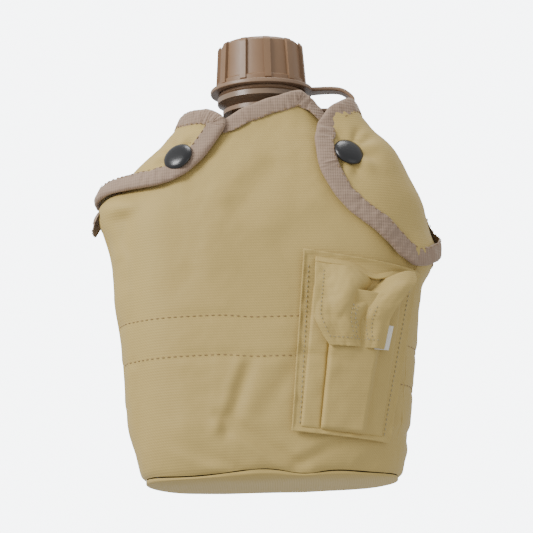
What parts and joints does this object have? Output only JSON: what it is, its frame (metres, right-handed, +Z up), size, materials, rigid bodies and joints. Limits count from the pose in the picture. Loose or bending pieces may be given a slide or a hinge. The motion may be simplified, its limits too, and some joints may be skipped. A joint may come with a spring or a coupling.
{
  "type": "canteen",
  "caption": "Plastic canteen with a ribbed screw cap, in a padded cloth cover with snap flaps, a tablet pocket and belt clips.",
  "frame": {"origin": "middle of the cover's base, where it stands", "axes": "+Z up along the bottle to its cap, -Y out of the front with the pocket and snaps, +X to the right of a viewer in front"},
  "size_m": [0.1542, 0.1046, 0.2153],
  "materials": {
    "bottle_plastic": "moulded brown polyethylene, satin",
    "cap_plastic": "moulded brown plastic, fine grain",
    "gasket_rubber": "matt sealing rubber",
    "strap_plastic": "soft moulded plastic",
    "cover_cloth": "khaki nylon twill with a slight sheen",
    "pile": "short knitted pile",
    "webbing": "woven narrow webbing",
    "binding_tape": "woven edge tape, brown",
    "snap_enamel": "black enamel over brass, domed",
    "snap_metal": "darkened brass",
    "hook_tape": "off-white hook and loop tape",
    "clip_enamel": "black oxide steel strip"
  },
  "bodies": {
    "covered_bottle": {"bottle_body": "bottle_plastic", "strap_neck_ring": "strap_plastic", "strap_loop": "strap_plastic", "cover_front": "cover_cloth", "cover_back": "cover_cloth", "cover_bottom": "cover_cloth", "pile_lining": "pile", "inner_webbing": "webbing", "front_binding": "binding_tape", "left_snap_stud": "snap_metal", "right_snap_stud": "snap_metal", "left_stud_washer": "snap_metal", "right_stud_washer": "snap_metal", "pocket_patch": "cover_cloth", "pocket_pouch": "cover_cloth", "pocket_flap_seam": "cover_cloth", "pocket_loop_tape": "hook_tape", "back_webbing_lower": "webbing", "back_webbing_upper": "webbing", "left_clip_frame": "clip_enamel", "right_clip_frame": "clip_enamel"},
    "strap_ring": {"strap_cap_ring": "strap_plastic"},
    "screw_cap": {"cap": "cap_plastic", "cap_gasket": "gasket_rubber"},
    "flap_left": {"left_flap": "cover_cloth", "left_flap_binding": "binding_tape", "left_snap_cap": "snap_enamel", "left_snap_socket": "snap_metal"},
    "flap_right": {"right_flap": "cover_cloth", "right_flap_binding": "binding_tape", "right_snap_cap": "snap_enamel", "right_snap_socket": "snap_metal"},
    "tablet_flap": {"pocket_flap": "cover_cloth", "pocket_hook_tape": "hook_tape"},
    "slide_left": {"left_clip_slide": "clip_enamel"},
    "slide_right": {"right_clip_slide": "clip_enamel"}
  },
  "joints": [
    {"name": "cap_lift", "type": "slide", "parent": "covered_bottle", "child": "strap_ring", "axis": [0, 0, 1], "range_m": [0, 0.021]},
    {"name": "cap_turn", "type": "hinge", "parent": "strap_ring", "child": "screw_cap", "pos_m": [0, 0, 0.2], "axis": [0, 0, 1], "range_deg": [0, 1260]},
    {"name": "left_flap_open", "type": "hinge", "parent": "covered_bottle", "child": "flap_left", "pos_m": [-0.02368, 0.0318, 0.17588], "axis": [-0.7765, -0.1959, -0.5989], "range_deg": [0, 150]},
    {"name": "right_flap_open", "type": "hinge", "parent": "covered_bottle", "child": "flap_right", "pos_m": [0.02368, 0.0318, 0.17588], "axis": [-0.7765, 0.1959, 0.5989], "range_deg": [0, 150]},
    {"name": "pocket_flap_open", "type": "hinge", "parent": "covered_bottle", "child": "tablet_flap", "pos_m": [0.0464, -0.0475, 0.10138], "axis": [-0.9897, -0.1197, 0.0785], "range_deg": [0, 140]},
    {"name": "left_clip_lock", "type": "slide", "parent": "covered_bottle", "child": "slide_left", "axis": [0, 0, 1], "range_m": [0, 0.01]},
    {"name": "right_clip_lock", "type": "slide", "parent": "covered_bottle", "child": "slide_right", "axis": [0, 0, 1], "range_m": [0, 0.01]}
  ],
  "couplings": [
    {"joint": "cap_lift", "follows": "cap_turn", "m_per_rad": 0.00095493}
  ]
}
